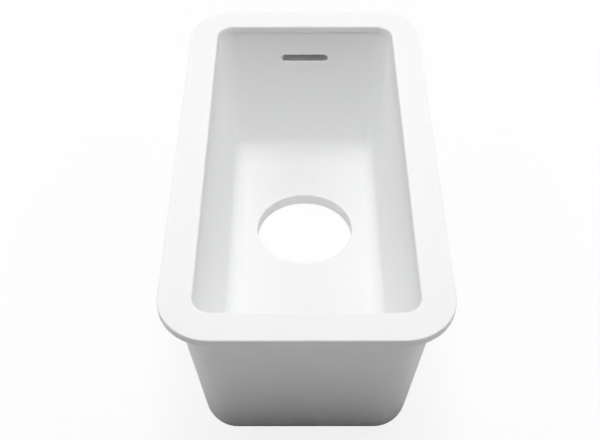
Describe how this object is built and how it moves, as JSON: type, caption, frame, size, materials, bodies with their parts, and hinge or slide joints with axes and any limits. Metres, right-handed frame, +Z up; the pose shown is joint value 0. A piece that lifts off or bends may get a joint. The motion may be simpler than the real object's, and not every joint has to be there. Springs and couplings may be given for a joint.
{
  "type": "solid surface sink",
  "caption": "White solid surface undermount sink bowl with drafted walls, coved floor, round drain hole, flat bonding rim and an overflow slot led to a swivel hose tail.",
  "frame": {"origin": "centre of the opening, on the rim's flat top face that is bonded under the worktop", "axes": "+Z up out of the opening, +Y along the bowl towards the overflow wall, +X to the right seen from the user's side"},
  "size_m": [0.209, 0.4188, 0.163],
  "materials": {
    "solid_surface": "satin",
    "joint_adhesive": "matte",
    "rubber": "matte",
    "housing_plastic": "matte",
    "elbow_plastic": "matte",
    "brass": "satin",
    "steel": "satin"
  },
  "bodies": {
    "sink": {"bowl": "solid_surface", "rim_flange": "solid_surface", "rim_bead": "joint_adhesive", "overflow_gasket": "rubber", "overflow_housing": "housing_plastic", "overflow_inserts": "brass", "overflow_screws": "steel", "elbow_clip": "steel"},
    "elbow": {"swivel_elbow": "elbow_plastic", "elbow_o_ring": "rubber"}
  },
  "joints": [
    {"name": "overflow_swivel", "type": "hinge", "parent": "sink", "child": "elbow", "pos_m": [0, 0.17815, -0.03517], "axis": [0, 0.9966, -0.0819], "continuous": true}
  ]
}
